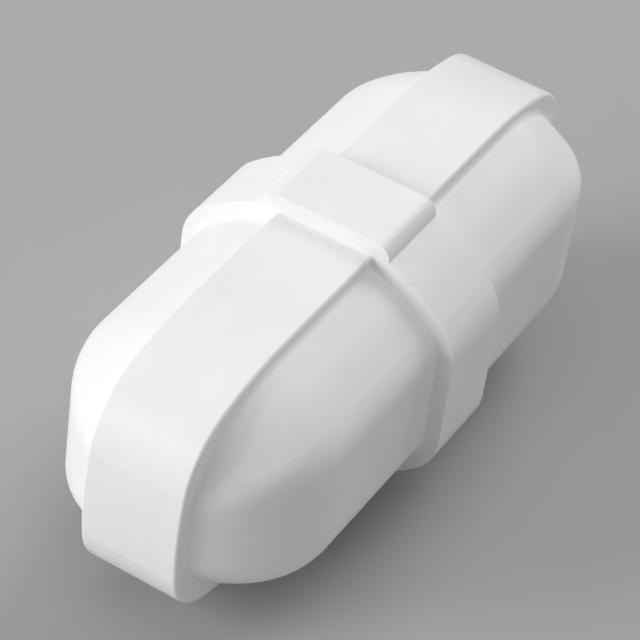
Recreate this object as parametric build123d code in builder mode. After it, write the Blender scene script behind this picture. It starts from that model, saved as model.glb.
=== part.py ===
"""Magnetic stir bar: an eight-sided PTFE jacket with a pivot ring, moulded round a rod magnet.

Millimetres.  X runs along the bar, Y across it and Z up.  The origin is the centre of the bar,
which is also the centre of the magnet and of the pivot ring.  The bar is symmetrical about all
three planes through the origin.
"""
import os
from math import asin, atan2, cos, degrees, sin

from build123d import *

# Raised band: runs along the top, over both ends and back along the underside
bar_length = 20.0            # end to end, over the band
band_height = 7.65           # top of the band to its underside
band_width = 3.0
band_shoulder_run = 4.6      # from each end of the bar to where the band's top starts to fall
band_shoulder_radius = 10.2  # it falls away on this before the end turns down
band_end_radius = 11.4       # slight crown of each end
band_turn_radius = 2.3       # turn from the shoulder into the end
band_edge_radius = 0.1
band_root_radius = 0.2       # where the band's walls rise from the body

# Body: eight-sided, with the two side faces and four slanting faces showing beside the band
body_width = 7.7             # over the two flat side faces
end_step = 0.1               # the band stands this far beyond the body at each end
band_step = 0.33             # the slanting faces start this far below the band's top
crease_drop = 1.885          # a slanting face would meet the side face this far below the top
facet_crown_radius = 5.5     # each slanting face is crowned across its width
crease_radius = 1.2          # round between a slanting face and a side face

# Pivot ring: follows the body and the band at a constant height
ring_width = 2.5
ring_rise = 0.5
ring_tab_radius = 0.45       # corners of the ring where it steps over the band
ring_root_radius = 0.1       # where the ring's flanks rise from the body

# Rod magnet, sealed in the middle of the jacket
magnet_diameter = 4.6
magnet_end_wall = 2.5        # from each end of the bar to the magnet
magnet_chamfer = 0.3
magnet_clearance = 0.05      # all round, between the magnet and its cavity

match = 1e-4                 # an edge this near to a plane lies on it

half_band = band_width / 2
half_side = body_width / 2
half_height = band_height / 2
facet_top = half_height - band_step
crease_height = half_height - crease_drop
body_end = bar_length / 2 - end_step
wrap_centre = body_end - half_side  # the body's faces turn round its end about this X
shoulder_turn = degrees(asin(band_shoulder_run / band_shoulder_radius))

# A slanting face seen along X: its chord runs from beside the band down to the side face.
# Across the chord is "out", along it is "down"; both are measured from the origin.
facet_drop = facet_top - crease_height
facet_run = half_side - half_band
facet_slope = atan2(facet_drop, facet_run)
facet_chord = (facet_run**2 + facet_drop**2) ** 0.5
chord_out = half_band * sin(facet_slope) + facet_top * cos(facet_slope)
chord_down = half_band * cos(facet_slope) - facet_top * sin(facet_slope) + facet_chord / 2
crown_centre_out = chord_out - (facet_crown_radius**2 - (facet_chord / 2) ** 2) ** 0.5
down = Vector(0, cos(facet_slope), -sin(facet_slope))
out = Vector(0, sin(facet_slope), cos(facet_slope))
crown_centre = down * chord_down + out * crown_centre_out

# Everything under one slanting face at the end of the bar: its crowned section, turned about an
# axis that lies along the face, so that the face curls over the end.
with BuildPart() as curl:
    with BuildSketch(Plane(origin=(wrap_centre, 0, 0), x_dir=down, z_dir=(1, 0, 0))):
        with Locations((chord_down, crown_centre_out)):
            Circle(facet_crown_radius)
        with Locations((chord_down, 0)):
            Rectangle(
                2 * facet_crown_radius,
                facet_crown_radius,
                align=(Align.CENTER, Align.MIN),
                mode=Mode.INTERSECT,
            )
    revolve(axis=Axis((wrap_centre, 0, 0), down), revolution_arc=360)

# The same end seen from above: a half round, as wide as the body
with BuildPart() as side_end:
    with BuildSketch(Plane.XY):
        with Locations((wrap_centre, 0)):
            Circle(half_side)
        with Locations((wrap_centre, half_band / 2)):
            Rectangle(half_side, half_side, align=(Align.MIN, Align.MIN), mode=Mode.INTERSECT)
    extrude(amount=half_height, both=True)
    add(curl.part, mode=Mode.INTERSECT)
    add(curl.part.mirror(Plane.XY), mode=Mode.INTERSECT)

# The body beside the band on the +Y side: a straight stretch between its two ends
with BuildPart() as side:
    with BuildSketch(Plane.YZ.offset(-wrap_centre)):
        with Locations((half_band / 2, 0)):
            Rectangle(half_side - half_band / 2, band_height, align=(Align.MIN, Align.CENTER))
        for z in (crown_centre.Z, -crown_centre.Z):
            with Locations((crown_centre.Y, z)):
                Circle(facet_crown_radius, mode=Mode.INTERSECT)
    extrude(amount=2 * wrap_centre)
    add(side_end.part)
    add(side_end.part.mirror(Plane.YZ))
    creases = (
        side.edges()
        .filter_by_position(Axis.Y, half_band, half_side)
        .filter_by(lambda edge: 0.5 < abs(edge.center().Z) / crease_height < 1.25)
    )
    fillet(creases, crease_radius)

# The band, seen from the side: a quarter of its outline, then mirrored
with BuildPart() as band:
    with BuildSketch(Plane.XZ) as outline:
        with BuildLine():
            top = Line((0, half_height), (bar_length / 2 - band_shoulder_run, half_height))
            shoulder = JernArc(top @ 1, top % 1, band_shoulder_radius, -shoulder_turn)
            Polyline(shoulder @ 1, ((shoulder @ 1).X, 0), (0, 0), top @ 0)
        make_face()
        with Locations((bar_length / 2 - band_end_radius, 0)):
            Circle(band_end_radius, mode=Mode.INTERSECT)
        corner = outline.vertices().sort_by_distance((bar_length / 2, half_height))[0]
        fillet(corner, band_turn_radius)
        mirror(about=Plane.YZ)
        mirror(about=Plane.XZ)
    extrude(amount=half_band, both=True)
    rims = band.edges().filter_by(lambda edge: abs(abs(edge.center().Y) - half_band) < match)
    fillet(rims, band_edge_radius)

# The pivot ring: the body's section and the band's, each grown by the ring's rise
with BuildPart() as ring:
    with BuildSketch(Plane.YZ.offset(-ring_width / 2)) as grown:
        Rectangle(body_width, 2 * facet_top)
        for y in (crown_centre.Y, -crown_centre.Y):
            for z in (crown_centre.Z, -crown_centre.Z):
                with Locations((y, z)):
                    Circle(facet_crown_radius, mode=Mode.INTERSECT)
        side_corners = grown.vertices().group_by(lambda corner: abs(corner.X))[-1]
        fillet(side_corners, crease_radius)
        offset(amount=ring_rise)
        RectangleRounded(
            band_width + 2 * ring_rise,
            band_height + 2 * ring_rise,
            ring_tab_radius,
        )
    extrude(amount=ring_width)

magnet_length = bar_length - 2 * magnet_end_wall
cavity_diameter = magnet_diameter + 2 * magnet_clearance
cavity_length = magnet_length + 2 * magnet_clearance

# Jacket: body, band and ring are one moulding, closed all round the magnet, with a small round
# at the foot of the band's walls and of the ring's flanks
with BuildPart() as jacket:
    add(band.part)
    for y_side in (side.part, side.part.mirror(Plane.XZ)):
        add(y_side)
        band_roots = jacket.edges(Select.NEW).filter_by(
            lambda edge: abs(abs(edge.center().Y) - half_band) < match
        )
        fillet(band_roots, band_root_radius)
    add(ring.part)
    ring_roots = jacket.edges(Select.NEW).filter_by(
        lambda edge: abs(abs(edge.center().X) - ring_width / 2) < match
    )
    fillet(ring_roots, ring_root_radius)
    with BuildSketch(Plane.YZ.offset(-cavity_length / 2)):
        Circle(cavity_diameter / 2)
    extrude(amount=cavity_length, mode=Mode.SUBTRACT)
jacket.part.label = "jacket"

with BuildPart() as magnet:
    with BuildSketch(Plane.YZ.offset(-magnet_length / 2)):
        Circle(magnet_diameter / 2)
    extrude(amount=magnet_length)
    chamfer(magnet.edges().filter_by(GeomType.CIRCLE), magnet_chamfer)
magnet.part.label = "bar_magnet"

os.makedirs("parts", exist_ok=True)
export_step(jacket.part, "parts/jacket.step")
export_step(magnet.part, "parts/bar_magnet.step")
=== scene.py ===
# %% [markdown]
# # A magnetic stir bar
#
# The real thing is a rod magnet sealed in white PTFE. The jacket is one moulding: eight long
# sides, a raised band that runs along the top, over both ends and back underneath, and a pivot
# ring round the middle that the bar spins on. All its looks are in one smooth, faintly waxy
# surface, so this lesson is about finish, light and camera.

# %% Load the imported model
import math

import bpy
import numpy as np
from mathutils import Matrix, Vector


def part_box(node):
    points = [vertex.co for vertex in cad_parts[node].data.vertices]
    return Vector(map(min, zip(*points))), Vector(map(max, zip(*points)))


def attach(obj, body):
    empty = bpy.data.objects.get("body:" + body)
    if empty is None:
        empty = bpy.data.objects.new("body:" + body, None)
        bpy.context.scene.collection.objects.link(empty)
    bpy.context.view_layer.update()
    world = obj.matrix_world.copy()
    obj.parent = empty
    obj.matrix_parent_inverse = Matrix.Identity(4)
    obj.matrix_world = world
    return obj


MM = 0.001

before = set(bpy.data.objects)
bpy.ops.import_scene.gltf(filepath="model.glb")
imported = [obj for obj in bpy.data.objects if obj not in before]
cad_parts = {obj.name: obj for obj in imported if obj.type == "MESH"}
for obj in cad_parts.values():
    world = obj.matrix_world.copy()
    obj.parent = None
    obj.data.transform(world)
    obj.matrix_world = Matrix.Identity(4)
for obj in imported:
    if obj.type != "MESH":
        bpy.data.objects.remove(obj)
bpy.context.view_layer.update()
bar_low, bar_high = (Vector(corner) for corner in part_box("jacket"))
bar_size = bar_high - bar_low
print("nodes", sorted(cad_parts), "size in mm", [round(side / MM, 2) for side in bar_size])

# %% [markdown]
# ## Helpers for materials
#
# A procedural material is a graph of small nodes. A few helpers keep the graph readable: they add
# a node and set its sockets by name, turn object coordinates into a noise of a given grain, and
# carry that noise on to a range or a colour. Object coordinates are metres here, because every
# piece sits at the origin, so a grain size can be given as a real size.

# %% Node helpers
def new_material(name):
    """An empty node material with its Principled shader and its output already joined."""
    material = bpy.data.materials.new(name)
    material.use_nodes = True
    nodes = material.node_tree.nodes
    nodes.clear()
    shader = nodes.new("ShaderNodeBsdfPrincipled")
    output = nodes.new("ShaderNodeOutputMaterial")
    material.node_tree.links.new(shader.outputs["BSDF"], output.inputs["Surface"])
    return material, shader


def add_node(material, kind, **sockets):
    """A node of this kind. Each keyword sets the input socket of that name (_ is a space)."""
    node = material.node_tree.nodes.new("ShaderNode" + kind)
    for name, value in sockets.items():
        node.inputs[name.replace("_", " ")].default_value = value
    return node


def join(material, source, target):
    """Links one output socket to one input socket."""
    material.node_tree.links.new(source, target)


def grain(material, size, detail=4.0, roughness=0.5, stretch=(1.0, 1.0, 1.0)):
    """Noise on object coordinates, with blobs about `size` metres across; returns its 0 to 1."""
    place = add_node(material, "TexCoord")
    mapping = add_node(material, "Mapping")
    mapping.inputs["Scale"].default_value = stretch
    noise = add_node(material, "TexNoise", Scale=1.0 / size, Detail=detail, Roughness=roughness)
    join(material, place.outputs["Object"], mapping.inputs["Vector"])
    join(material, mapping.outputs["Vector"], noise.inputs["Vector"])
    return noise.outputs["Fac"]


def spread(material, source, low, high):
    """Carries a noise, which keeps to about 0.3 .. 0.7, on to low .. high."""
    remap = add_node(material, "MapRange", From_Min=0.3, From_Max=0.7, To_Min=low, To_Max=high)
    join(material, source, remap.inputs["Value"])
    return remap.outputs["Result"]


def tint(material, source, dark, light):
    """Carries the same range of a noise from one colour to another."""
    ramp = add_node(material, "ValToRGB")
    for stop, place, colour in zip(ramp.color_ramp.elements, (0.3, 0.7), (dark, light)):
        stop.position, stop.color = place, (*colour, 1.0)
    join(material, source, ramp.inputs["Fac"])
    return ramp.outputs["Color"]


print("helpers ready")

# %% [markdown]
# ## White PTFE
#
# PTFE is pressed and sintered, so it isn't glossy: it has a soft, slightly greasy sheen, a little
# light sinks in, and close up the surface is faintly cloudy, with a grain of a few hundredths of
# a millimetre. A plain white would look like plaster, so the colour, the roughness and the height
# each follow a noise of their own. All three are kept weak, because from a hand's breadth away
# the real surface reads as smooth and even.

# %% Jacket material
CLOUD_SIZE = 1.6 * MM
SHEEN_SIZE = 0.45 * MM
GRAIN_SIZE = 0.06 * MM
SWELL_SIZE = 2.2 * MM


def ptfe_finish():
    """White, low sheen, slightly translucent; colour, roughness and height each have a noise."""
    material, shader = new_material("ptfe")
    cloud = grain(material, CLOUD_SIZE)
    colour = tint(material, cloud, (0.915, 0.915, 0.905), (0.945, 0.945, 0.94))
    join(material, colour, shader.inputs["Base Color"])
    sheen = spread(material, grain(material, SHEEN_SIZE, detail=6.0), 0.34, 0.46)
    join(material, sheen, shader.inputs["Roughness"])

    swell = add_node(material, "Bump", Strength=0.25, Distance=0.012 * MM)
    join(material, grain(material, SWELL_SIZE, detail=1.0), swell.inputs["Height"])
    fine = add_node(material, "Bump", Strength=0.3, Distance=0.0012 * MM)
    join(material, grain(material, GRAIN_SIZE, detail=3.0), fine.inputs["Height"])
    join(material, swell.outputs["Normal"], fine.inputs["Normal"])
    join(material, fine.outputs["Normal"], shader.inputs["Normal"])

    shader.inputs["IOR"].default_value = 1.36
    shader.inputs["Subsurface Weight"].default_value = 0.12
    shader.inputs["Subsurface Radius"].default_value = (1.0, 0.97, 0.92)
    shader.inputs["Subsurface Scale"].default_value = 0.35 * MM
    return material


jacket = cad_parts["jacket"]
jacket.data.materials.clear()
jacket.data.materials.append(ptfe_finish())
print("jacket faces", len(jacket.data.polygons), "smooth", jacket.data.polygons[0].use_smooth)

# %% [markdown]
# ## The magnet inside
#
# The rod is cast from a hard magnet alloy and ground round. It can't be seen in the sealed
# jacket, but anyone who takes the model apart meets it, so it gets the fine rings that a grinder
# leaves round it: a noise that runs fine along X and coarse across it, over a grainy cast tone.

# %% Magnet material
GRIND_PITCH = 0.12 * MM
CAST_SIZE = 0.5 * MM
ROUND_X = (1.0, 0.02, 0.02)


def ground_alloy_finish():
    """Dull grey metal, with grinding rings round X and a mottled cast tone."""
    material, shader = new_material("magnet_alloy")
    cast = grain(material, CAST_SIZE)
    colour = tint(material, cast, (0.34, 0.33, 0.32), (0.48, 0.47, 0.46))
    join(material, colour, shader.inputs["Base Color"])
    rings = grain(material, GRIND_PITCH, detail=2.0, stretch=ROUND_X)
    join(material, spread(material, rings, 0.36, 0.6), shader.inputs["Roughness"])
    bump = add_node(material, "Bump", Strength=0.4, Distance=0.004 * MM)
    join(material, rings, bump.inputs["Height"])
    join(material, bump.outputs["Normal"], shader.inputs["Normal"])
    shader.inputs["Metallic"].default_value = 0.9
    return material


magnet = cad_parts["bar_magnet"]
magnet.data.materials.clear()
magnet.data.materials.append(ground_alloy_finish())
print("magnet faces", len(magnet.data.polygons))

# %% [markdown]
# ## Floor
#
# A white object needs a floor that is pale and yet darker than itself, or its outline is lost.
# The floor is a flat sheet under the ring's flat underside, which is the lowest face of the bar.

# %% Pale floor
FLOOR_HALF = 0.9
FLOOR_COLOUR = (0.42, 0.425, 0.43, 1.0)


def floor_sheet():
    """A flat square at the bar's lowest height, in pale matt grey."""
    corners = np.array([(-1, -1, 0), (1, -1, 0), (1, 1, 0), (-1, 1, 0)], float) * FLOOR_HALF
    corners[:, 2] = bar_low.z
    mesh = bpy.data.meshes.new("floor")
    mesh.from_pydata(corners.tolist(), [], [(0, 1, 2, 3)])
    sheet = bpy.data.objects.new("floor", mesh)
    bpy.context.scene.collection.objects.link(sheet)
    material, shader = new_material("floor")
    shader.inputs["Base Color"].default_value = FLOOR_COLOUR
    shader.inputs["Roughness"].default_value = 0.85
    mesh.materials.append(material)
    return sheet


floor = floor_sheet()
print("floor height in mm", round(bar_low.z / MM, 3))

# %% [markdown]
# ## Camera
#
# The bar is looked at from above and from one end, with a long lens, so that parallel edges stay
# nearly parallel. The place comes from two angles and a distance, and a roll tips the horizon.

# %% Camera
AZIMUTH = math.radians(26.15)
ELEVATION = math.radians(41.87)
ROLL = math.radians(8.43)
DISTANCE = 87.35 * MM
LENS = 177.2
SENSOR = 36.0
CLIP = (0.005, 5.0)
AIM = Vector((0.27, -0.24, -0.16)) * MM


def pointing(away, roll=0.0):
    """The turn that makes an object look along -away, level and then rolled."""
    level = away.to_track_quat("Z", "Y").to_matrix()
    return level @ Matrix.Rotation(roll, 3, "Z")


def studio_camera():
    """A camera on the sphere of radius DISTANCE round AIM."""
    data = bpy.data.cameras.new("camera")
    data.lens = LENS
    data.sensor_width = SENSOR
    data.clip_start, data.clip_end = CLIP
    away = Vector(
        (
            math.cos(ELEVATION) * math.cos(AZIMUTH),
            math.cos(ELEVATION) * math.sin(AZIMUTH),
            math.sin(ELEVATION),
        )
    )
    camera = bpy.data.objects.new("camera", data)
    bpy.context.scene.collection.objects.link(camera)
    place = Matrix.Translation(AIM + away * DISTANCE)
    camera.matrix_world = place @ pointing(away, ROLL).to_4x4()
    bpy.context.scene.camera = camera
    return camera


camera = studio_camera()
print("camera in mm", [round(value / MM, 1) for value in camera.matrix_world.translation])

# %% [markdown]
# ## Light
#
# Soft boxes are area lamps, all at the same distance. Each row gives the way one lies from the
# bar, how wide it is and its power. The key is low beside the near end and models the slanting
# faces, the back one lifts the top, and the rest, with the world, keep the far side from going
# dark.

# %% Soft boxes
LAMP_DISTANCE = 0.4
LAMPS = (
    ("key", (0.6, -0.7, 0.35), 0.25, 1.18),
    ("front", (1.0, -0.35, 0.5), 0.25, 0.22),
    ("top", (0.0, 0.0, 1.0), 0.4, 0.3),
    ("back", (-0.8, 0.1, 0.7), 0.3, 0.8),
    ("fill", (0.2, 0.9, 0.5), 0.3, 0.19),
)
WORLD_STRENGTH = 0.115


def softbox(name, direction, size, power):
    """A round area lamp that faces the bar from this direction."""
    data = bpy.data.lights.new(name, "AREA")
    data.shape, data.size, data.energy = "DISK", size, power
    lamp = bpy.data.objects.new(name, data)
    bpy.context.scene.collection.objects.link(lamp)
    away = Vector(direction).normalized()
    place = Matrix.Translation(away * LAMP_DISTANCE)
    lamp.matrix_world = place @ pointing(away).to_4x4()
    return lamp


for row in LAMPS:
    softbox(*row)

world = bpy.data.worlds.new("studio")
world.use_nodes = True
background = world.node_tree.nodes["Background"]
background.inputs["Color"].default_value = (1.0, 1.0, 1.0, 1.0)
background.inputs["Strength"].default_value = WORLD_STRENGTH
bpy.context.scene.world = world
bpy.context.scene.view_settings.view_transform = "Standard"
print("lamps", [row[0] for row in LAMPS], "watts", round(sum(row[3] for row in LAMPS), 2))

# %% [markdown]
# ## The end
#
# Both parts are hung from one empty, body:root, without moving them.

# %% Attach the parts and finish
for node in (jacket, magnet):
    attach(node, "root")
